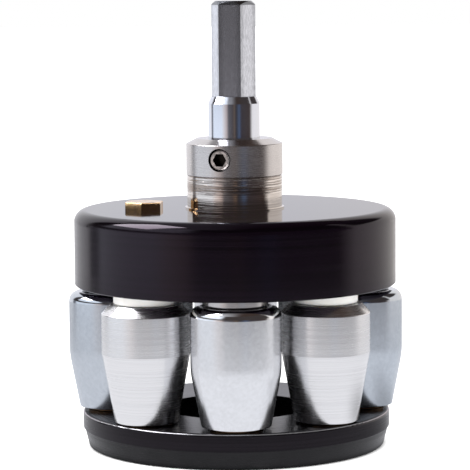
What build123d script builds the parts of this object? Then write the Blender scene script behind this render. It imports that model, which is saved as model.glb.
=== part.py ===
from build123d import *
from math import cos, radians, sin
import os

# Roller capping head. A hex drive shank is keyed and clamped into a steel hub in a round drum.
# Eight tapered rollers turn freely on pins that run from the drum down to a two-part guide ring,
# and the bottle's neck comes up through the ring into the throat between the rollers.
# Millimetres, +Z up, origin on the shank's axis at the underside of the guide ring.

# Fits: pressed and screwed pieces, and pieces that run on each other
press_gap = 0.02
running_gap = 0.05
end_float = 0.15
screw_clearance = 0.2
edge_break = 0.3

# Guide ring: the pins stand on its upper part, the lower part takes the wear
wear_ring_height = 5.5
ring_height = 11.0
ring_radius = 47.9
ring_rim_round = 0.9
wear_top_radius = 47.5
wear_foot_radius = 46.1
neck_hole_radius = 22.3
neck_hole_break = 0.4

# Drum
drum_radius = 50.0
drum_bottom = 50.3
drum_top = 73.6
drum_rim_round = 3.6

# Rollers: eight stations, polished steel ones between turned aluminium ones
roller_count = 8
pitch_radius = 38.4
first_station_angle = -90.0
pin_radius = 5.0
pin_seat_depth = 14.0
pin_spigot_radius = 4.0
pin_spigot_length = 4.0
bush_wall = 2.0
bush_length = 12.0
bush_flange_radius = 7.8
spacer_radius = 9.7
spacer_round = 0.5

steel_roller_foot = 11.9
steel_roller_top = 48.0
steel_foot_radius = 10.5
steel_body_radius = 13.6
steel_taper_height = 28.2
steel_taper_blend = 25.0
steel_shoulder_round = 3.0

aluminium_roller_foot = 11.5
aluminium_roller_top = 47.3
aluminium_foot_radius = 9.6
aluminium_body_radius = 13.4
aluminium_taper_height = 32.5
aluminium_shoulder_height = 44.5
aluminium_face_radius = 10.8

# Ring screws, M4 socket heads driven up into the pins
ring_screw_radius = 2.0
ring_screw_head_radius = 3.5
ring_screw_head_height = 4.0
ring_screw_recess = 4.5
ring_screw_length = 15.0
ring_screw_socket_radius = 1.7

# Hub sleeve, pressed into the drum from above
hub_spigot_radius = 12.0
hub_radius = 14.8
hub_flange_radius = 15.4
hub_flange_height = 0.5
hub_top = 83.9

# Clamping at the drum's underside
clamp_washer_radius = 15.0
clamp_washer_height = 2.8
clamp_recess_depth = 3.3
clamp_screw_radius = 4.0
clamp_screw_length = 15.0
clamp_head_radius = 6.5
clamp_head_height = 4.0
clamp_socket_radius = 2.9

# Drive shank: round 16 mm bar, milled to a 12 mm hexagon at the top
shank_radius = 8.0
shank_foot = 54.0
shank_round_top = 106.1
hex_foot = 108.3
hex_top = 137.7
hex_across_flats = 12.0
hex_turn = 11.7
hex_neck_radius = 7.0
hex_end_radius = 5.6
hex_end_drop = 1.2

# Key between the shank and the hub
key_width = 5.0
key_length = 14.0
key_foot = 57.0
key_inner_radius = 5.0
key_outer_radius = 10.2

# Set collar and its screw, 18.4 degrees left of the front
collar_radius = 15.0
collar_top = 95.4
collar_bevel_width = 3.2
collar_bevel_height = 1.6
set_screw_height = 89.4
set_screw_angle = 18.4
set_screw_radius = 3.1
set_screw_hole_radius = 3.55
set_screw_outer_reach = 14.5
set_screw_point_radius = 2.0
set_screw_point_length = 1.0
set_screw_socket_radius = 2.2
set_screw_socket_depth = 3.0

# Brass plug on the drum's top, on the left of the axis
plug_distance = 28.2
plug_across_flats = 11.0
plug_turn = -6.0
plug_head_height = 2.15
plug_thread_radius = 3.0
plug_thread_length = 8.0
plug_hole_depth = 10.0


def flats_to_corner(across_flats):
    """Radius through the corners of a hexagon of this width across flats."""
    return across_flats / 2 / cos(radians(30))


def station_place(station):
    """Centre of a roller station on the pitch circle."""
    angle = radians(first_station_angle + station * 360 / roller_count)
    return pitch_radius * cos(angle), pitch_radius * sin(angle)


def station_plane(station):
    """Upright sketch plane through a station's axis: local x is the radius, local y the height."""
    x, y = station_place(station)
    return Plane(origin=(x, y, 0), x_dir=(1, 0, 0), z_dir=(0, -1, 0))


def station_axis(station):
    """Upright axis that a station's roller turns about."""
    x, y = station_place(station)
    return Axis((x, y, 0), (0, 0, 1))


def is_round(edge):
    """True for a circular edge."""
    return edge.geom_type == GeomType.CIRCLE


def rim(piece, height, radius):
    """The circular edge of a piece at a height, with a radius."""
    edges = piece.edges().filter_by(is_round)
    level = edges.filter_by_position(Axis.Z, height - 0.01, height + 0.01)
    return level.filter_by(lambda edge: abs(edge.radius - radius) < 0.01)


def write(piece, label):
    """Labels a finished piece and writes its STEP file."""
    piece.label = label
    export_step(piece, f"parts/{label}.step")


os.makedirs("parts", exist_ok=True)

# ---- Wear ring: black ring below, slightly coned, counterbored from below for the ring screws ----
with BuildPart() as wear_ring:
    with BuildSketch(Plane.XZ):
        Polygon(
            (neck_hole_radius, 0),
            (wear_foot_radius, 0),
            (wear_top_radius, wear_ring_height),
            (neck_hole_radius, wear_ring_height),
            align=None,
        )
    revolve(axis=Axis.Z)
    fillet(rim(wear_ring, 0, wear_foot_radius), edge_break * 2)
    chamfer(rim(wear_ring, 0, neck_hole_radius), neck_hole_break)
    with BuildSketch(Plane.XY):
        with PolarLocations(pitch_radius, roller_count, start_angle=first_station_angle):
            Circle(ring_screw_head_radius + edge_break)
    extrude(amount=ring_screw_recess, mode=Mode.SUBTRACT)
    with BuildSketch(Plane.XY):
        with PolarLocations(pitch_radius, roller_count, start_angle=first_station_angle):
            Circle(ring_screw_radius + screw_clearance)
    extrude(amount=wear_ring_height, mode=Mode.SUBTRACT)
write(wear_ring.part, "wear_ring")

# ---- Guide ring: the upper part, with a rounded rim and a seat for each pin's spigot ----
with BuildPart() as guide_ring:
    with BuildSketch(Plane.XY.offset(wear_ring_height)):
        Circle(ring_radius)
        Circle(neck_hole_radius, mode=Mode.SUBTRACT)
    extrude(amount=ring_height - wear_ring_height)
    fillet(rim(guide_ring, ring_height, ring_radius), ring_rim_round)
    chamfer(rim(guide_ring, wear_ring_height, ring_radius), edge_break)
    chamfer(rim(guide_ring, ring_height, neck_hole_radius), neck_hole_break)
    with BuildSketch(Plane.XY.offset(ring_height)):
        with PolarLocations(pitch_radius, roller_count, start_angle=first_station_angle):
            Circle(pin_spigot_radius + press_gap)
    extrude(amount=-pin_spigot_length, mode=Mode.SUBTRACT)
    with BuildSketch(Plane.XY.offset(ring_height)):
        with PolarLocations(pitch_radius, roller_count, start_angle=first_station_angle):
            Circle(ring_screw_radius + screw_clearance)
    extrude(amount=wear_ring_height - ring_height, mode=Mode.SUBTRACT)
write(guide_ring.part, "guide_ring")

# ---- Ring screws: eight alike, up through both rings into the pins ----
ring_screw_seat = ring_screw_recess
ring_screw_foot = ring_screw_seat - ring_screw_head_height
with BuildPart() as ring_screws:
    with BuildSketch(Plane.XY.offset(ring_screw_foot)):
        with PolarLocations(pitch_radius, roller_count, start_angle=first_station_angle):
            Circle(ring_screw_head_radius)
    extrude(amount=ring_screw_head_height)
    with BuildSketch(Plane.XY.offset(ring_screw_seat)):
        with PolarLocations(pitch_radius, roller_count, start_angle=first_station_angle):
            Circle(ring_screw_radius)
    extrude(amount=ring_screw_length)
    with BuildSketch(Plane.XY.offset(ring_screw_foot)):
        with PolarLocations(pitch_radius, roller_count, start_angle=first_station_angle):
            RegularPolygon(ring_screw_socket_radius, side_count=6)
    extrude(amount=ring_screw_head_height / 2, mode=Mode.SUBTRACT)
write(ring_screws.part, "ring_screws")

# ---- Drum: turned from solid bar, bored for the hub, the pins, the clamp washer and the plug ----
with BuildPart() as drum:
    with BuildSketch(Plane.XY.offset(drum_bottom)):
        Circle(drum_radius)
        Circle(hub_spigot_radius + press_gap, mode=Mode.SUBTRACT)
    extrude(amount=drum_top - drum_bottom)
    fillet(rim(drum, drum_top, drum_radius), drum_rim_round)
    chamfer(rim(drum, drum_bottom, drum_radius), edge_break)
    with BuildSketch(Plane.XY.offset(drum_bottom)):
        with PolarLocations(pitch_radius, roller_count, start_angle=first_station_angle):
            Circle(pin_radius + press_gap)
    extrude(amount=pin_seat_depth, mode=Mode.SUBTRACT)
    with BuildSketch(Plane.XY.offset(drum_bottom)):
        Circle(clamp_washer_radius + edge_break)
    extrude(amount=clamp_recess_depth, mode=Mode.SUBTRACT)
    with BuildSketch(Plane.XY.offset(drum_top)):
        with Locations((-plug_distance, 0)):
            Circle(plug_thread_radius + press_gap)
    extrude(amount=-plug_hole_depth, mode=Mode.SUBTRACT)
write(drum.part, "drum")

# ---- Hub sleeve: polished steel, with a thin flange on the drum and a spigot through it ----
clamp_level = drum_bottom + clamp_recess_depth
with BuildPart() as hub_sleeve:
    with BuildSketch(Plane.XZ):
        Polygon(
            (shank_radius + press_gap, clamp_level),
            (hub_spigot_radius, clamp_level),
            (hub_spigot_radius, drum_top),
            (hub_flange_radius, drum_top),
            (hub_flange_radius, drum_top + hub_flange_height),
            (hub_radius, drum_top + hub_flange_height),
            (hub_radius, hub_top),
            (shank_radius + press_gap, hub_top),
            align=None,
        )
    revolve(axis=Axis.Z)
    chamfer(rim(hub_sleeve, hub_top, hub_radius), edge_break)
    with BuildSketch(Plane.XY.offset(clamp_level)):
        with Locations((key_outer_radius / 2, 0)):
            Rectangle(key_outer_radius, key_width)
    extrude(amount=key_foot + key_length - clamp_level, mode=Mode.SUBTRACT)
write(hub_sleeve.part, "hub_sleeve")

# ---- Drive shank: round bar with a hexagonal end, a keyway and a tapped foot ----
with BuildPart() as drive_shank:
    with BuildSketch(Plane.XY.offset(shank_foot)):
        RegularPolygon(flats_to_corner(hex_across_flats), side_count=6, rotation=-hex_turn)
    extrude(amount=hex_top - shank_foot)
    with BuildSketch(Plane.XZ):
        Polygon(
            (0, shank_foot),
            (hex_end_radius + flats_to_corner(hex_across_flats), shank_foot),
            (hex_end_radius + flats_to_corner(hex_across_flats), hex_foot),
            (flats_to_corner(hex_across_flats), hex_top - hex_end_drop),
            (hex_end_radius, hex_top),
            (0, hex_top),
            align=None,
        )
    revolve(axis=Axis.Z, mode=Mode.INTERSECT)
    with BuildSketch(Plane.XZ):
        Polygon(
            (0, shank_foot),
            (shank_radius, shank_foot),
            (shank_radius, shank_round_top),
            (hex_neck_radius, hex_foot),
            (0, hex_foot),
            align=None,
        )
    revolve(axis=Axis.Z)
    with BuildSketch(Plane.XY.offset(key_foot)):
        with Locations((key_outer_radius / 2 + key_inner_radius, 0)):
            Rectangle(key_outer_radius, key_width)
    extrude(amount=key_length, mode=Mode.SUBTRACT)
    with BuildSketch(Plane.XY.offset(shank_foot)):
        Circle(clamp_screw_radius + press_gap)
    extrude(amount=clamp_screw_length, mode=Mode.SUBTRACT)
write(drive_shank.part, "drive_shank")

# ---- Drive key: square key half in the shank, half in the hub ----
with BuildPart() as drive_key:
    with BuildSketch(Plane.XY.offset(key_foot)):
        with Locations(((key_inner_radius + key_outer_radius) / 2, 0)):
            Rectangle(key_outer_radius - key_inner_radius - 2 * press_gap, key_width - 2 * press_gap)
    extrude(amount=key_length)
write(drive_key.part, "drive_key")

# ---- Clamp washer: let into the drum's underside ----
with BuildPart() as clamp_washer:
    with BuildSketch(Plane.XY.offset(clamp_level)):
        Circle(clamp_washer_radius)
        Circle(clamp_screw_radius + screw_clearance, mode=Mode.SUBTRACT)
    extrude(amount=-clamp_washer_height)
    chamfer(rim(clamp_washer, clamp_level - clamp_washer_height, clamp_washer_radius), edge_break)
write(clamp_washer.part, "clamp_washer")

# ---- Clamp screw: pulls the shank and hub down on the drum from below ----
clamp_head_top = clamp_level - clamp_washer_height
clamp_head_foot = clamp_head_top - clamp_head_height
with BuildPart() as clamp_screw:
    with BuildSketch(Plane.XY.offset(clamp_head_foot)):
        Circle(clamp_head_radius)
    extrude(amount=clamp_head_height)
    chamfer(rim(clamp_screw, clamp_head_foot, clamp_head_radius), edge_break * 2)
    with BuildSketch(Plane.XY.offset(clamp_head_top)):
        Circle(clamp_screw_radius)
    extrude(amount=clamp_screw_length)
    with BuildSketch(Plane.XY.offset(clamp_head_foot)):
        RegularPolygon(clamp_socket_radius, side_count=6)
    extrude(amount=clamp_head_height / 2, mode=Mode.SUBTRACT)
write(clamp_screw.part, "clamp_screw")

# ---- Set collar: ground steel ring with a bevelled top and one tapped hole ----
collar_side = (-sin(radians(set_screw_angle)), -cos(radians(set_screw_angle)), 0)
set_screw_plane = Plane(origin=(0, 0, set_screw_height), z_dir=collar_side)
with BuildPart() as set_collar:
    with BuildSketch(Plane.XZ):
        Polygon(
            (shank_radius + press_gap, hub_top),
            (collar_radius, hub_top),
            (collar_radius, collar_top - collar_bevel_height),
            (collar_radius - collar_bevel_width, collar_top),
            (shank_radius + press_gap, collar_top),
            align=None,
        )
    revolve(axis=Axis.Z)
    chamfer(rim(set_collar, hub_top, collar_radius), edge_break)
    fillet(rim(set_collar, collar_top - collar_bevel_height, collar_radius), edge_break)
    with BuildSketch(set_screw_plane):
        Circle(set_screw_hole_radius)
    extrude(amount=collar_radius * 2, mode=Mode.SUBTRACT)
write(set_collar.part, "set_collar")

# ---- Set screw: hex socket, its dog point on the shank ----
with BuildPart() as set_screw:
    with BuildSketch(set_screw_plane.offset(shank_radius + press_gap)):
        Circle(set_screw_point_radius)
    extrude(amount=set_screw_point_length)
    with BuildSketch(set_screw_plane.offset(shank_radius + press_gap + set_screw_point_length)):
        Circle(set_screw_radius)
    extrude(amount=set_screw_outer_reach - shank_radius - press_gap - set_screw_point_length)
    chamfer(set_screw.faces().sort_by(Axis((0, 0, 0), collar_side))[-1].edges(), edge_break)
    with BuildSketch(set_screw_plane.offset(set_screw_outer_reach)):
        RegularPolygon(set_screw_socket_radius, side_count=6)
    extrude(amount=-set_screw_socket_depth, mode=Mode.SUBTRACT)
write(set_screw.part, "set_screw")

# ---- Brass plug: low hexagon head with a chamfered top, threaded into the drum ----
with BuildPart() as brass_plug:
    with BuildSketch(Plane.XY.offset(drum_top)):
        with Locations((-plug_distance, 0)):
            RegularPolygon(flats_to_corner(plug_across_flats), side_count=6, rotation=plug_turn - 90)
    extrude(amount=plug_head_height)
    chamfer(brass_plug.faces().sort_by(Axis.Z)[-1].edges(), edge_break)
    with BuildSketch(Plane.XY.offset(drum_top)):
        with Locations((-plug_distance, 0)):
            Circle(plug_thread_radius)
    extrude(amount=-plug_thread_length)
write(brass_plug.part, "brass_plug")


# ---- Roller stations: pin, spacer or washer above, roller, and its two bushes ----
def make_pin(station):
    """Steel pin: spigot in the guide ring, top end pressed into the drum, foot tapped."""
    with BuildPart() as pin:
        with BuildSketch(station_plane(station)):
            Polygon(
                (0, ring_height - pin_spigot_length),
                (pin_spigot_radius, ring_height - pin_spigot_length),
                (pin_spigot_radius, ring_height),
                (pin_radius, ring_height),
                (pin_radius, drum_bottom + pin_seat_depth),
                (0, drum_bottom + pin_seat_depth),
                align=None,
            )
        revolve(axis=station_axis(station))
        with BuildSketch(Plane.XY.offset(ring_height - pin_spigot_length)):
            with Locations(station_place(station)):
                Circle(ring_screw_radius + press_gap)
        extrude(amount=ring_screw_length, mode=Mode.SUBTRACT)
    return pin.part


def make_spacer(station, foot):
    """Round spacer or washer on the pin, between a roller's top and the drum."""
    with BuildPart() as spacer:
        with BuildSketch(Plane.XY.offset(foot)):
            with Locations(station_place(station)):
                Circle(spacer_radius)
                Circle(pin_radius + press_gap, mode=Mode.SUBTRACT)
        extrude(amount=drum_bottom - foot)
        fillet(rim(spacer, foot, spacer_radius), spacer_round)
    return spacer.part


def make_bushes(station, roller_foot, roller_top):
    """Two bronze bushes pressed into a roller: the lower one's flange carries the roller."""
    bush_bore = pin_radius + running_gap
    bush_radius = pin_radius + bush_wall
    with BuildPart() as bushes:
        with BuildSketch(station_plane(station)):
            Polygon(
                (bush_bore, ring_height + end_float),
                (bush_flange_radius, ring_height + end_float),
                (bush_flange_radius, roller_foot),
                (bush_radius, roller_foot),
                (bush_radius, roller_foot + bush_length),
                (bush_bore, roller_foot + bush_length),
                align=None,
            )
        revolve(axis=station_axis(station))
        with BuildSketch(Plane.XY.offset(roller_top)):
            with Locations(station_place(station)):
                Circle(bush_radius)
                Circle(bush_bore, mode=Mode.SUBTRACT)
        extrude(amount=-bush_length)
    return bushes.part


def make_roller_blank(station, outline):
    """Roller turned to an outline of (radius, height) corners, with a through bore for the bushes."""
    bore = pin_radius + bush_wall + press_gap
    foot = outline[0][1]
    top = outline[-1][1]
    with BuildPart() as blank:
        with BuildSketch(station_plane(station)):
            Polygon((bore, foot), *outline, (bore, top), align=None)
        revolve(axis=station_axis(station))
    return blank.part


def make_steel_roller(station):
    """Zinc-plated steel roller with softly blended taper and rounded shoulder."""
    outline = [
        (steel_foot_radius, steel_roller_foot),
        (steel_body_radius, steel_taper_height),
        (steel_body_radius, steel_roller_top),
    ]
    with BuildPart() as roller:
        add(make_roller_blank(station, outline))
        fillet(rim(roller, steel_taper_height, steel_body_radius), steel_taper_blend)
        fillet(rim(roller, steel_roller_top, steel_body_radius), steel_shoulder_round)
        fillet(rim(roller, steel_roller_foot, steel_foot_radius), edge_break)
    return roller.part


def make_aluminium_roller(station):
    """Bare aluminium roller with a crisp conical shoulder."""
    outline = [
        (aluminium_foot_radius, aluminium_roller_foot),
        (aluminium_body_radius, aluminium_taper_height),
        (aluminium_body_radius, aluminium_shoulder_height),
        (aluminium_face_radius, aluminium_roller_top),
    ]
    with BuildPart() as roller:
        add(make_roller_blank(station, outline))
        fillet(rim(roller, aluminium_shoulder_height, aluminium_body_radius), edge_break)
        fillet(rim(roller, aluminium_roller_foot, aluminium_foot_radius), edge_break)
    return roller.part


for station in range(roller_count):
    number = station + 1
    write(make_pin(station), f"roller_pin_{number}")
    if station % 2 == 0:
        write(make_spacer(station, steel_roller_top + end_float), f"steel_spacer_{number}")
        write(make_steel_roller(station), f"roller_{number}")
        write(make_bushes(station, steel_roller_foot, steel_roller_top), f"roller_bushes_{number}")
    else:
        write(make_spacer(station, aluminium_roller_top + end_float), f"nylon_washer_{number}")
        write(make_aluminium_roller(station), f"roller_{number}")
        write(make_bushes(station, aluminium_roller_foot, aluminium_roller_top), f"roller_bushes_{number}")
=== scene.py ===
import bpy
from math import radians
from mathutils import Matrix, Vector


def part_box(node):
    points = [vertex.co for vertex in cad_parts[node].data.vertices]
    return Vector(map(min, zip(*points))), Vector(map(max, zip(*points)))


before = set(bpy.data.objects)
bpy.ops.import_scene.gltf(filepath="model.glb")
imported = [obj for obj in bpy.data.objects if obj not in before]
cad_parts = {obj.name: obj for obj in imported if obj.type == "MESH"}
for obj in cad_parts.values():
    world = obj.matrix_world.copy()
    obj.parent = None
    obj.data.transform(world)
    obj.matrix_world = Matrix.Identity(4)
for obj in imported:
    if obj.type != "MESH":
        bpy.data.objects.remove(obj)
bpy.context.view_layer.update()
bpy.ops.object.select_all(action="DESELECT")


# ---- Drum ----
# Turned from solid aluminium bar, polished on its face and rim, and dyed black as it was anodised.
# The side keeps the lathe tool's fine lines. The hub, the pins and the plug are let into it.
class Wire:
    """One socket of a material's nodes, so that shader maths is written as plain expressions."""

    def __init__(self, tree, socket):
        self.tree = tree
        self.socket = socket

    def node(self, kind, settings, inputs, output=0):
        """Adds a node: its settings first, then the values or links of its sockets."""
        made = self.tree.nodes.new(kind)
        for name, value in settings.items():
            if name == "stops":
                self.set_stops(made.color_ramp, value)
            else:
                setattr(made, name, value)
        for name, value in inputs.items():
            if isinstance(value, Wire):
                self.tree.links.new(value.socket, made.inputs[name])
            else:
                made.inputs[name].default_value = value
        return Wire(self.tree, made.outputs[output]) if made.outputs else None

    @staticmethod
    def set_stops(ramp, stops):
        """Gives a colour ramp these stops, each a position and a colour."""
        ramp.elements.remove(ramp.elements[1])
        ramp.elements[0].position = stops[0][0]
        ramp.elements[0].color = (*stops[0][1], 1)
        for position, colour in stops[1:]:
            ramp.elements.new(position).color = (*colour, 1)

    def output(self, index):
        """Another output of the node that this socket belongs to."""
        return Wire(self.tree, self.socket.node.outputs[index])

    def math(self, operation, *others):
        """A Math node on this value and the others."""
        values = dict(enumerate((self, *others)))
        return self.node("ShaderNodeMath", {"operation": operation}, values)

    def __add__(self, other):
        return self.math("ADD", other)

    def __radd__(self, other):
        return self.math("ADD", other)

    def __sub__(self, other):
        return self.math("SUBTRACT", other)

    def __rsub__(self, other):
        return (self * -1).math("ADD", other)

    def __mul__(self, other):
        return self.math("MULTIPLY", other)

    def __rmul__(self, other):
        return self.math("MULTIPLY", other)

    def __truediv__(self, other):
        return self.math("DIVIDE", other)

    def __pow__(self, other):
        return self.math("POWER", other)


def begin(name):
    """Starts a material, and returns it with a wire that carries the object's own coordinates."""
    material = bpy.data.materials.new(name)
    material.use_nodes = True
    tree = material.node_tree
    tree.nodes.clear()
    coordinates = tree.nodes.new("ShaderNodeTexCoord")
    return material, Wire(tree, coordinates.outputs["Object"])


def finish(place, inputs):
    """Ends a material with a Principled surface that takes these inputs."""
    surface = place.node("ShaderNodeBsdfPrincipled", {}, inputs)
    place.node("ShaderNodeOutputMaterial", {}, {"Surface": surface})


def dress(node, material):
    """Puts a material on a CAD node."""
    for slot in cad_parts[node].material_slots:
        slot.material = material


def ramp(value, low, high):
    """Runs smoothly from 0 to 1 as a value goes from low to high."""
    ends = {"Value": value, "From Min": low, "From Max": high}
    return value.node("ShaderNodeMapRange", {"interpolation_type": "SMOOTHSTEP"}, ends)


def blend(mask, without, full):
    """One colour where a mask is 0 and another where it is 1; either may be a pattern."""
    colours = {0: mask, 6: without, 7: full}
    return mask.node("ShaderNodeMix", {"data_type": "RGBA"}, colours, output=2)


def tint(mask, without, full):
    """One plain colour where a mask is 0 and another where it is 1."""
    return blend(mask, (*without, 1), (*full, 1))


def about_axis(place, node):
    """Radius from a round piece's own axis, and its x, y and z from there."""
    low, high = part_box(node)
    centre = ((low[0] + high[0]) / 2, (low[1] + high[1]) / 2, 0)
    moved = place.node("ShaderNodeVectorMath", {"operation": "SUBTRACT"}, {0: place, 1: centre})
    split = moved.node("ShaderNodeSeparateXYZ", {}, {0: moved})
    x = split.output(0)
    y = split.output(1)
    return (x * x + y * y) ** 0.5, x, y, split.output(2)


def tool_lines(round_place, lines_per_metre, wander, detail):
    """Lathe tool lines: circles round the sides of a piece, and rings on its faces."""
    radius, x, y, z = round_place
    around = {0: x / radius * wander, 1: y / radius * wander, 2: z * lines_per_metre}
    track = radius.node("ShaderNodeCombineXYZ", {}, around)
    noise = {"Vector": track, "W": radius * lines_per_metre, "Scale": 1.0, "Detail": detail}
    return radius.node("ShaderNodeTexNoise", {"noise_dimensions": "4D"}, noise)


def clouds(place, size, detail):
    """Soft uneven patches of about this size in metres."""
    noise = {"Vector": place, "Scale": 1 / size, "Detail": detail}
    return place.node("ShaderNodeTexNoise", {}, noise)


def stretched_noise(place, scales, detail):
    """Noise with its own number of grains per metre along x, y and z."""
    stretch = place.node("ShaderNodeMapping", {}, {"Vector": place, "Scale": scales})
    noise = {"Vector": stretch, "Scale": 1.0, "Detail": detail}
    return place.node("ShaderNodeTexNoise", {}, noise)


def raised(height, depth):
    """A surface normal that follows a height pattern this deep in metres."""
    relief = {"Height": height, "Strength": 1.0, "Distance": depth}
    return height.node("ShaderNodeBump", {}, relief)


drum_side_start = 0.0494
deep_dye = (0.0009, 0.0003, 0.0012)
worn_dye = (0.0028, 0.0012, 0.0034)
drum_black, place = begin("black_anodised_drum")
drum_round = about_axis(place, "drum")
coarse_lines = tool_lines(drum_round, lines_per_metre=1500, wander=0.35, detail=3)
fine_lines = tool_lines(drum_round, lines_per_metre=4200, wander=0.8, detail=2)
patches = clouds(place, size=0.009, detail=3)
on_side = ramp(drum_round[0], drum_side_start, drum_side_start + 0.0004)
side_lines = ramp(fine_lines, 0.45, 0.7) * on_side
line_height = coarse_lines * (0.15 + on_side) + fine_lines * (0.1 + on_side * 0.5)
finish(place, {
    "Base Color": tint(ramp(coarse_lines, 0.35, 0.65), deep_dye, worn_dye),
    "Roughness": 0.04 + on_side * 0.10 + patches * 0.04 + side_lines * 0.06,
    "Specular IOR Level": 0.31,
    "Specular Tint": (1.0, 0.84, 1.0, 1),
    "Normal": raised(line_height, depth=0.0000013),
})
dress("drum", drum_black)

# ---- Hub sleeve ----
# Polished steel sleeve, pressed into the drum until its thin flange sits on the drum's face.
# Its upper half shows strong tool lines, and the lower half was buffed to a mirror.
lined_half_start = 0.0780
lined_half_blend = 0.0022
buffed_steel = (0.76, 0.71, 0.67)
grooved_steel = (0.40, 0.34, 0.30)
hub_polish, place = begin("polished_hub_steel")
hub_round = about_axis(place, "hub_sleeve")
hub_lines = tool_lines(hub_round, lines_per_metre=2600, wander=0.6, detail=4)
hub_scratches = tool_lines(hub_round, lines_per_metre=7000, wander=1.0, detail=2)
upper_half = ramp(hub_round[3], lined_half_start, lined_half_start + lined_half_blend)
cut = ramp(hub_lines, 0.43, 0.58)
line_height = cut * (0.12 + upper_half) + hub_scratches * 0.25
finish(place, {
    "Base Color": tint(cut * (0.3 + upper_half * 0.7), buffed_steel, grooved_steel),
    "Metallic": 1.0,
    "Roughness": 0.05 + cut * upper_half * 0.12 + clouds(place, size=0.004, detail=2) * 0.05,
    "Normal": raised(line_height, depth=0.000026),
})
dress("hub_sleeve", hub_polish)

# ---- Drive shank and key ----
# Bright drawn bar, ground round where the collar grips it and milled to a hexagon for the spindle.
# The flats are duller, with a fine grain and darker corners. The key is cut from the same bar, and
# it locks the shank to the hub.
hex_start = 0.1082
end_bevel_start = 0.1363
corner_start_radius = 0.0061
corner_radius = 0.0067
bright_bar = (0.74, 0.77, 0.84)
dull_bar = (0.22, 0.23, 0.25)
shank_steel, place = begin("ground_and_milled_shank_steel")
shank_round = about_axis(place, "drive_shank")
grind_lines = tool_lines(shank_round, lines_per_metre=5200, wander=3.0, detail=3)
on_hex = ramp(shank_round[3], hex_start, hex_start + 0.0002)
mill_grain = stretched_noise(place, scales=(2600, 2600, 700), detail=2)
mill_patches = clouds(place, size=0.0022, detail=3)
near_corner = ramp(shank_round[0], corner_start_radius, corner_radius) * on_hex
on_end_bevel = ramp(shank_round[3], end_bevel_start, end_bevel_start + 0.0003)
rings_or_grain = grind_lines * (1 - on_hex) * 0.40 + mill_grain * on_hex * (1 - on_end_bevel)
dulled = ramp(mill_patches * 0.35 + mill_grain * 0.65, 0.36, 0.64) * on_hex
# The end bevel takes the full dull colour as painted shade.
finish(place, {
    "Base Color": tint(dulled * 0.30 + near_corner * 0.3 + on_end_bevel, bright_bar, dull_bar),
    "Metallic": 1.0,
    "Roughness": 0.13 + on_hex * (0.10 + dulled * 0.025),
    "Normal": raised(rings_or_grain, depth=0.0000015),
})
dress("drive_shank", shank_steel)
dress("drive_key", shank_steel)

# ---- Set collar ----
# Standard shaft collar in satin steel: fine grain all round, a bevel on top, clamped on the shank
# against the hub by one screw. The corner between side and bevel is rubbed bright.
bevel_start = 0.0938
plain_satin = (0.60, 0.575, 0.565)
light_satin = (0.70, 0.67, 0.66)
collar_satin, place = begin("satin_collar_steel")
collar_round = about_axis(place, "set_collar")
satin_lines = tool_lines(collar_round, lines_per_metre=5200, wander=2.0, detail=4)
satin_patches = clouds(place, size=0.0035, detail=3)
bevel_corner = 1 - ramp((collar_round[3] - bevel_start).math("ABSOLUTE"), 0.0001, 0.0005)
on_bevel = ramp(collar_round[3], bevel_start, bevel_start + 0.0003)
side_roughness = 0.24 + ramp(satin_lines, 0.4, 0.65) * 0.025 + satin_patches * 0.04
finish(place, {
    "Base Color": tint(satin_patches, plain_satin, light_satin),
    "Metallic": 1.0,
    "Roughness": side_roughness - bevel_corner * 0.05 - on_bevel * 0.11,
    "Normal": raised(satin_lines, depth=0.00000025),
})
dress("set_collar", collar_satin)

# ---- Set screw, clamp screw and ring screws ----
# Bought socket screws in hardened steel with a dark oiled finish. Their rims are worn bright
# by the key and the tapped hole, and the sockets are nearly black.
worn_bright = (0.78, 0.75, 0.72)
oil_and_socket_black = (0.018, 0.016, 0.014)


def oiled_steel(place, socket_inside):
    """Ends a screw's material: oiled steel with dark patches, and black where the socket's inside
    is.
    """
    patches = clouds(place, size=0.0009, detail=4)
    wear = clouds(place, size=0.0003, detail=2)
    oil_and_socket_mask = ramp(patches, 0.35, 0.65) * 0.5 + socket_inside
    finish(place, {
        "Base Color": tint(oil_and_socket_mask, worn_bright, oil_and_socket_black),
        "Metallic": 1.0,
        "Roughness": 0.20 + patches * 0.16,
        "Normal": raised(wear, depth=0.000005),
    })


set_screw_turn = radians(18.4)
set_screw_face = 0.0145
rim_depth = 0.0003
dark_depth = 0.0006
screw_steel, place = begin("oiled_set_screw_steel")
turned = place.node("ShaderNodeMapping", {}, {"Vector": place, "Rotation": (0, 0, set_screw_turn)})
split = turned.node("ShaderNodeSeparateXYZ", {}, {0: turned})
out_from_axis = split.output(1) * -1
at_rim = ramp(out_from_axis, set_screw_face - dark_depth, set_screw_face - rim_depth)
oiled_steel(place, 1 - at_rim)
dress("set_screw", screw_steel)

socket_start = 0.0004
socket_dark = 0.0012
clamp_screw_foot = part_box("clamp_screw")[0][2]
clamp_screw_steel, place = begin("oiled_clamp_screw_steel")
split = place.node("ShaderNodeSeparateXYZ", {}, {0: place})
height = split.output(2) - clamp_screw_foot
oiled_steel(place, ramp(height, socket_start, socket_dark) * 0.5)
dress("clamp_screw", clamp_screw_steel)

ring_screws_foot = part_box("ring_screws")[0][2]
ring_screw_steel, place = begin("oiled_ring_screw_steel")
split = place.node("ShaderNodeSeparateXYZ", {}, {0: place})
height = split.output(2) - ring_screws_foot
oiled_steel(place, ramp(height, socket_start, socket_dark) * 0.5)
dress("ring_screws", ring_screw_steel)

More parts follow.
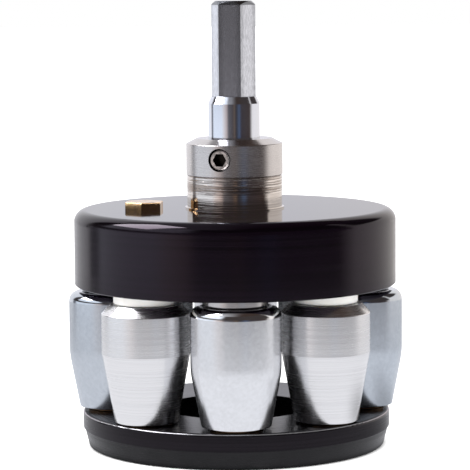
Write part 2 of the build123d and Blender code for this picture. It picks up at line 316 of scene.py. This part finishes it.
# ---- Clamp washer ----
# Thick turned steel washer let into the drum's underside, where the clamp screw pulls the hub
# down. Its faces are left as they came from the tool.
plain_turned = (0.55, 0.55, 0.56)
bright_turned = (0.64, 0.64, 0.65)
washer_steel, place = begin("turned_washer_steel")
washer_round = about_axis(place, "clamp_washer")
washer_lines = tool_lines(washer_round, lines_per_metre=2500, wander=1.5, detail=3)
finish(place, {
    "Base Color": tint(ramp(washer_lines, 0.4, 0.6), plain_turned, bright_turned),
    "Metallic": 1.0,
    "Roughness": 0.20 + washer_lines * 0.14,
    "Normal": raised(washer_lines, depth=0.000008),
})
dress("clamp_washer", washer_steel)

# ---- Brass plug ----
# Low hexagon plug machined from brass bar and screwed into the drum's face, left of the shank.
# Its flats are bright, with fine marks along the bar and a slight tarnish.
clean_brass = (0.86, 0.60, 0.33)
tarnished_brass = (0.70, 0.44, 0.20)
brass, place = begin("bright_brass")
brass_grain = stretched_noise(place, scales=(1800, 1800, 500), detail=3)
tarnish = clouds(place, size=0.003, detail=4)
finish(place, {
    "Base Color": tint(ramp(tarnish, 0.35, 0.70), clean_brass, tarnished_brass),
    "Metallic": 1.0,
    "Roughness": 0.10 + brass_grain * 0.08 + ramp(tarnish, 0.5, 0.8) * 0.10,
    "Normal": raised(brass_grain, depth=0.0000015),
})
dress("brass_plug", brass)

# ---- Roller pins, spacers and washers ----
# Each roller turns on a ground steel pin between the drum and the ring. Above a steel roller sits
# a polished steel spacer, and above an aluminium one a moulded nylon washer with a rounded edge.
stations = range(1, 9)
steel_stations = (1, 3, 5, 7)
aluminium_stations = (2, 4, 6, 8)
ground_steel = (0.56, 0.56, 0.58)
bright_ground_steel = (0.66, 0.66, 0.68)
spacer_polish = (0.66, 0.63, 0.62)
spacer_groove = (0.56, 0.54, 0.53)
clean_nylon = (0.90, 0.89, 0.87)
yellowed_nylon = (0.84, 0.82, 0.78)
for station in stations:
    pin_steel, place = begin(f"ground_pin_steel_{station}")
    pin_round = about_axis(place, f"roller_pin_{station}")
    pin_lines = tool_lines(pin_round, lines_per_metre=4500, wander=3.0, detail=2)
    finish(place, {
        "Base Color": tint(pin_lines, ground_steel, bright_ground_steel),
        "Metallic": 1.0,
        "Roughness": 0.12 + pin_lines * 0.10,
        "Normal": raised(pin_lines, depth=0.000002),
    })
    dress(f"roller_pin_{station}", pin_steel)

for station in steel_stations:
    spacer_steel, place = begin(f"polished_spacer_steel_{station}")
    spacer_round = about_axis(place, f"steel_spacer_{station}")
    spacer_lines = tool_lines(spacer_round, lines_per_metre=2600, wander=1.0, detail=3)
    finish(place, {
        "Base Color": tint(spacer_lines, spacer_polish, spacer_groove),
        "Metallic": 1.0,
        "Roughness": 0.16 + spacer_lines * 0.14,
        "Normal": raised(spacer_lines, depth=0.000006),
    })
    dress(f"steel_spacer_{station}", spacer_steel)

nylon, place = begin("white_nylon")
nylon_patches = clouds(place, size=0.004, detail=3)
nylon_skin = clouds(place, size=0.0004, detail=2)
finish(place, {
    "Base Color": tint(nylon_patches, clean_nylon, yellowed_nylon),
    "Roughness": 0.36 + nylon_patches * 0.12,
    "Subsurface Weight": 0.25,
    "Subsurface Radius": (0.004, 0.0035, 0.003),
    "Subsurface Scale": 0.5,
    "Normal": raised(nylon_skin, depth=0.000006),
})
for station in aluminium_stations:
    dress(f"nylon_washer_{station}", nylon)

# ---- Steel rollers ----
# Turned in mild steel with a softly blended taper, then zinc plated to a satin, which hides the
# tool lines under a fine mottle. The left and right ones are coloured bluer and darker as painted
# reflection and shade, and the rounded shoulders are polished by handling.
fresh_plating = (0.85, 0.86, 0.88)
# The left and right rollers' bluer, darker colours are painted reflection and shade.
right_plating_painted_reflection = (0.59, 0.635, 0.69)
left_plating_painted_reflection = (0.60, 0.64, 0.69)
platings_with_painted_side_reflection = {1: fresh_plating, 3: right_plating_painted_reflection, 5: fresh_plating, 7: left_plating_painted_reflection}
dulling = 0.94
shoulder_start = 0.0447
shoulder_polished = 0.0455
for station, zinc_with_painted_side_reflection in platings_with_painted_side_reflection.items():
    dulled_zinc_with_painted_side_reflection = tuple(channel * dulling for channel in zinc_with_painted_side_reflection)
    zinc, place = begin(f"zinc_plated_roller_steel_{station}")
    roller_round = about_axis(place, f"roller_{station}")
    shoulder = ramp(roller_round[3], shoulder_start, shoulder_polished)
    mottle = clouds(place, size=0.0011, detail=2)
    plating_patches = clouds(place, size=0.006, detail=3)
    faint_lines = tool_lines(roller_round, lines_per_metre=1500, wander=0.8, detail=2)
    dulled = ramp(mottle * 0.6 + plating_patches * 0.4, 0.36, 0.64)
    relief = (mottle * 0.6 + faint_lines * 0.5) * (1 - shoulder * 0.8)
    finish(place, {
        "Base Color": tint(dulled, zinc_with_painted_side_reflection, dulled_zinc_with_painted_side_reflection),
        "Metallic": 1.0,
        "Roughness": (0.20 + mottle * 0.02 + plating_patches * 0.05) * (1 - shoulder * 0.55),
        "Normal": raised(relief, depth=0.0000008),
    })
    dress(f"roller_{station}", zinc)

# ---- Aluminium rollers ----
# Turned in bare aluminium bar with a crisp cone above and below, and left as they came from the
# lathe: fine tool lines all round, with faint wider streaks, a little smoother on the lower cone.
cylinder_start = 0.0322
cut_aluminium = (0.88, 0.875, 0.875)
streaked_aluminium = (0.80, 0.795, 0.80)
for station in aluminium_stations:
    aluminium, place = begin(f"turned_roller_aluminium_{station}")
    roller_round = about_axis(place, f"roller_{station}")
    on_body = ramp(roller_round[3], cylinder_start, cylinder_start + 0.0006)
    broad_lines = tool_lines(roller_round, lines_per_metre=1900, wander=0.16, detail=4)
    close_lines = tool_lines(roller_round, lines_per_metre=5200, wander=0.5, detail=2)
    streaks = ramp(broad_lines, 0.36, 0.64)
    finish(place, {
        "Base Color": tint(streaks * 0.6 + close_lines * 0.4, cut_aluminium, streaked_aluminium),
        "Metallic": 1.0,
        "Roughness": 0.21 + streaks * 0.04 + ramp(close_lines, 0.4, 0.7) * 0.04 + on_body * 0.03,
        "Normal": raised(streaks * 0.3 + close_lines * 0.6, depth=0.0000006),
    })
    dress(f"roller_{station}", aluminium)

# ---- Roller bushes ----
# Sintered bronze bushes pressed into each roller from both ends, porous and brown with oil, and
# coloured darker still as painted shade. Only the lower one's flange shows, in the narrow gap
# between a roller and the ring.
# Both bronze colours are darkened as painted shade of the gap under the rollers.
oily_bronze_with_painted_shade = (0.17, 0.10, 0.055)
dry_bronze_with_painted_shade = (0.28, 0.175, 0.09)
bronze, place = begin("sintered_bronze_with_painted_shade")
pores = clouds(place, size=0.0002, detail=3)
oil_patches = clouds(place, size=0.002, detail=3)
finish(place, {
    "Base Color": tint(oil_patches, oily_bronze_with_painted_shade, dry_bronze_with_painted_shade),
    "Metallic": 1.0,
    "Roughness": 0.34 + pores * 0.25,
    "Normal": raised(pores, depth=0.00001),
})
for station in stations:
    dress(f"roller_bushes_{station}", bronze)

# ---- Guide ring ----
# Black anodised aluminium ring that ties the pins' feet together, screwed on from below.
# Fine tool lines run round its side and top. Its rounded upper rim is polished, and a thin line
# of bare-metal colour is painted round it as a painted highlight.
rim_start_radius = 0.0468
rim_start_height = 0.0098
rim_line_height = 0.01068
ring_deep_dye = (0.0022, 0.0018, 0.0027)
ring_worn_dye = (0.0045, 0.0038, 0.0052)
painted_highlight_metal = (0.55, 0.55, 0.57, 1)
ring_black, place = begin("black_anodised_ring")
ring_round = about_axis(place, "guide_ring")
ring_lines = tool_lines(ring_round, lines_per_metre=1500, wander=0.35, detail=3)
ring_fine_lines = tool_lines(ring_round, lines_per_metre=5000, wander=0.8, detail=2)
ring_patches = clouds(place, size=0.007, detail=3)
past_face = ramp(ring_round[0], rim_start_radius, rim_start_radius + 0.0003)
on_rim = past_face * ramp(ring_round[3], rim_start_height, rim_start_height + 0.0003)
from_rim_line = (ring_round[3] - rim_line_height).math("ABSOLUTE")
rim_line = 1 - ramp(from_rim_line, 0.00006, 0.00018)
# A thin metallic line round the rim, a painted highlight.
painted_rim_highlight = on_rim * rim_line * (0.35 + ring_patches * 0.35)
dye = tint(ramp(ring_lines, 0.38, 0.62), ring_deep_dye, ring_worn_dye)
ring_roughness = 0.18 + ring_patches * 0.08 + ramp(ring_fine_lines, 0.4, 0.7) * 0.06
finish(place, {
    "Base Color": blend(painted_rim_highlight, dye, painted_highlight_metal),
    "Metallic": painted_rim_highlight,
    "Roughness": ring_roughness - on_rim * 0.10,
    "Specular IOR Level": 0.19,
    "Specular Tint": (1.0, 0.88, 1.0, 1),
    "Normal": raised((ring_lines + ring_fine_lines * 0.5) * (1 - on_rim * 0.8), depth=0.0000012),
})
dress("guide_ring", ring_black)

# ---- Wear ring ----
# Black acetal ring under the guide ring that takes the knocks from bottles. Machined, slightly
# coned, a little greyer than the metal above, and scuffed towards its foot.
clean_acetal = (0.0042, 0.0038, 0.0048)
scuffed_acetal = (0.0110, 0.0104, 0.0120)
scuffs_foot = 0.0006
scuffs_top = 0.0040
wear_black, place = begin("machined_black_acetal")
wear_round = about_axis(place, "wear_ring")
acetal_lines = tool_lines(wear_round, lines_per_metre=1900, wander=0.5, detail=3)
acetal_patches = clouds(place, size=0.010, detail=4)
scuffs = stretched_noise(place, scales=(120, 120, 700), detail=6)
scuffed = ramp(scuffs, 0.56, 0.70) * (1 - ramp(wear_round[3], scuffs_foot, scuffs_top))
greyed = ramp(acetal_patches, 0.3, 0.7) * 0.5 + scuffed * 0.5
finish(place, {
    "Base Color": tint(greyed, clean_acetal, scuffed_acetal),
    "Roughness": 0.25 + ramp(acetal_lines, 0.4, 0.65) * 0.06 + scuffed * 0.12,
    "Specular IOR Level": 0.24,
    "Normal": raised(acetal_lines + scuffs * 0.2, depth=0.0000018),
})
dress("wear_ring", wear_black)

# ---- Studio: floor and room light ----
# A plain white sweep of paper under the head, in a white room. The paper glows a little, so that
# it stays white all round, except close under the head.
floor_size = 12
floor_drop = 0.0002
foot_shade_radius = 0.045
foot_shade_blend = 0.003
paper_white = (0.86, 0.86, 0.86)
paper_shade = (0.82, 0.82, 0.82)
black = (0, 0, 0)
full_white = (1, 1, 1)
room = bpy.data.worlds.new("white_room")
room.use_nodes = True
room.node_tree.nodes["Background"].inputs["Color"].default_value = (*full_white, 1)
room.node_tree.nodes["Background"].inputs["Strength"].default_value = 1.0
bpy.context.scene.world = room

paper, place = begin("white_paper")
split = place.node("ShaderNodeSeparateXYZ", {}, {0: place})
distance = (split.output(0) * split.output(0) + split.output(1) * split.output(1)) ** 0.5
past_foot = ramp(distance, foot_shade_radius, foot_shade_radius + foot_shade_blend)
finish(place, {
    "Base Color": tint(clouds(place, size=0.02, detail=3), paper_white, paper_shade),
    "Roughness": 0.7,
    "Specular IOR Level": 0.0,
    "Emission Color": tint(past_foot, black, full_white),
    "Emission Strength": 0.85,
})
bpy.ops.mesh.primitive_plane_add(size=floor_size, location=(0, 0, -floor_drop))
floor = bpy.context.active_object
floor.name = "floor"
floor.data.materials.append(paper)


# ---- Studio: what the polished metal mirrors ----
# A round wall, a ceiling and a table top that only reflections see, arranged so that the polished
# metal shows its shape. The wall is white behind and at the sides, and dark in front, with a window
# high on the left. The table top carries the head's soft shadow on its right.
def glow(place, colour, strength=1.0):
    """Ends a material as plain light of this colour."""
    light = place.node("ShaderNodeEmission", {}, {"Color": colour, "Strength": strength})
    place.node("ShaderNodeOutputMaterial", {}, {"Surface": light})


def between(value, rise_start, rise_end, fall_start, fall_end):
    """1 inside a band of values and 0 outside it, with soft ends."""
    return ramp(value, rise_start, rise_end) * (1 - ramp(value, fall_start, fall_end))


def mirrored_only(card, material):
    """Makes a card that reflections see, and that neither the camera nor the soft light does."""
    card.data.materials.append(material)
    card.visible_camera = False
    card.visible_diffuse = False
    card.visible_shadow = False
    card.visible_transmission = False


wall_radius = 0.41
wall_height = 0.50
white = (1.00, 1.00, 1.04)
warm_white = (1.00, 0.95, 0.92)
cool_white = (0.96, 1.02, 1.12)
wall_bearings = [
    (-180, (0.88, 0.88, 0.96)),
    (-160, white),
    (-122, white),
    (-118, (0.22, 0.225, 0.25)),
    (-109, (0.22, 0.225, 0.25)),
    (-104, cool_white),
    (-56, cool_white),
    (-46, (0.90, 0.84, 0.84)),
    (-33, (0.62, 0.52, 0.50)),
    (-25, (0.14, 0.135, 0.15)),
    (-6, (0.08, 0.07, 0.075)),
    (2, (0.15, 0.105, 0.08)),
    (8, (0.04, 0.038, 0.045)),
    (14, (0.05, 0.055, 0.075)),
    (22, (0.080, 0.115, 0.20)),
    (32, (0.050, 0.043, 0.050)),
    (74, (0.060, 0.042, 0.038)),
    (89, warm_white),
    (150, warm_white),
    (180, (0.88, 0.88, 0.96)),
]
dark_side_bearings = (-126, -120, 82, 90)
window_bearings = (-108, -100, -42, -26)
side_room_bearings = (88, 96, 128, 142)
horizon = 0.088
horizon_blend = 0.012
window_foot = 0.155
side_room_foot = 0.20
height_blend = 0.03
room_shade = (0.055, 0.045, 0.043)
window_light = (1.15, 1.20, 1.30)
wall_light, place = begin("mirrored_wall")
split = place.node("ShaderNodeSeparateXYZ", {}, {0: place})
bearing = split.output(0).math("ARCTAN2", split.output(1) * -1) / radians(1)
height = split.output(2) + wall_height / 2
stops = [(degrees / 360 + 0.5, colour) for degrees, colour in wall_bearings]
around = place.node("ShaderNodeValToRGB", {"stops": stops}, {0: bearing / 360 + 0.5})
above_window_foot = ramp(height, window_foot, window_foot + height_blend)
above_side_room_foot = ramp(height, side_room_foot, side_room_foot + height_blend)
above_horizon = ramp(height, horizon, horizon + horizon_blend)
window = between(bearing, *window_bearings) * above_window_foot
side_room = between(bearing, *side_room_bearings) * above_side_room_foot
shade = above_horizon * between(bearing, *dark_side_bearings) + side_room
upper = tint(window, room_shade, window_light)
glow(place, blend(shade, around, upper))
bpy.ops.mesh.primitive_cylinder_add(
    vertices=128,
    radius=wall_radius,
    depth=wall_height,
    end_fill_type="NOTHING",
    location=(0, 0, wall_height / 2),
)
wall = bpy.context.active_object
wall.name = "mirrored_wall"
mirrored_only(wall, wall_light)

ceiling_height = 1.0
ceiling_size = 4
lit_ceiling_end = -0.45
dim_ceiling_start = 0.25
lit_ceiling = (0.42, 0.42, 0.44)
dim_ceiling = (0.055, 0.038, 0.032)
ceiling_light, place = begin("mirrored_ceiling")
split = place.node("ShaderNodeSeparateXYZ", {}, {0: place})
to_the_right = ramp(split.output(0), lit_ceiling_end, dim_ceiling_start)
glow(place, tint(to_the_right, lit_ceiling, dim_ceiling))
bpy.ops.mesh.primitive_plane_add(size=ceiling_size, location=(0, 0, ceiling_height))
ceiling = bpy.context.active_object
ceiling.name = "mirrored_ceiling"
mirrored_only(ceiling, ceiling_light)

shadow_place = 0.074
shadow_width = 0.022
shadow_depth = 0.045
ring_foot_radius = 0.045
far_start = 0.10
far_end = 0.34
table_light, place = begin("mirrored_table")
split = place.node("ShaderNodeSeparateXYZ", {}, {0: place})
x = split.output(0)
y = split.output(1)
distance = (x * x + y * y) ** 0.5
far = ramp(distance, far_start, far_end)
shadow_x = (x - shadow_place) / shadow_width
shadow_y = y / shadow_depth
shadow = 1 - ramp((shadow_x * shadow_x + shadow_y * shadow_y) ** 0.5, 0.2, 1.3)
# The table top is nearly black under the ring, as painted shade.
under = 1 - ramp(distance, ring_foot_radius, ring_foot_radius + 0.004)
level = (0.88 - far * 0.24) * (1 - shadow * 0.45) * (1 - under * 0.98)
tone = place.node("ShaderNodeCombineXYZ", {}, {0: level * 0.99, 1: level, 2: level * 1.05})
glow(place, tone)
bpy.ops.mesh.primitive_circle_add(
    vertices=96,
    radius=wall_radius,
    fill_type="NGON",
    location=(0, 0, -floor_drop / 2),
)
table = bpy.context.active_object
table.name = "mirrored_table"
mirrored_only(table, table_light)

# ---- Studio: key light ----
# One softbox high on the left. Its light falls on everything, and its white cloth is a card that
# only reflections see, which draws the streak on the drum's rim.
key_place = Vector((-0.29, -0.02, 0.39))
softbox_size = 0.26
softbox_strength = 11.0
softbox_watts = 1.0
crisp_cloth = (1.00, 0.98, 1.02)
soft_cloth = (0.94, 0.93, 0.97)
head_middle = Vector((0, 0, 0.06))
key_aim = (head_middle - key_place).to_track_quat("-Z", "Y").to_euler()
key_light = bpy.data.lights.new("key_softbox", "AREA")
key_light.shape = "SQUARE"
key_light.size = softbox_size
key_light.energy = softbox_watts
key = bpy.data.objects.new("key_softbox", key_light)
bpy.context.scene.collection.objects.link(key)
key.location = key_place
key.rotation_euler = key_aim
key.visible_glossy = False

cloth_light, place = begin("mirrored_softbox")
weave = clouds(place, size=0.05, detail=2)
glow(place, tint(weave, crisp_cloth, soft_cloth), softbox_strength)
bpy.ops.mesh.primitive_plane_add(size=softbox_size, location=key_place, rotation=key_aim)
cloth = bpy.context.active_object
cloth.name = "mirrored_softbox"
mirrored_only(cloth, cloth_light)

# ---- Camera ----
# Just above the drum's level and straight in front, with a long lens and a very small roll.
camera_place = (0, -0.7636, 0.1463)
camera_tilt = 6.076
camera_roll = -0.45
camera_lens = 188.79
camera = bpy.data.objects.new("camera", bpy.data.cameras.new("camera"))
bpy.context.scene.collection.objects.link(camera)
tilt = Matrix.Rotation(radians(90 - camera_tilt), 3, "X")
roll = Matrix.Rotation(radians(camera_roll), 3, "Z")
camera.location = camera_place
camera.rotation_euler = (tilt @ roll).to_euler()
camera.data.sensor_width = 36
camera.data.lens = camera_lens
camera.data.clip_start = 0.01
bpy.context.scene.camera = camera
bpy.context.scene.view_settings.view_transform = "Standard"
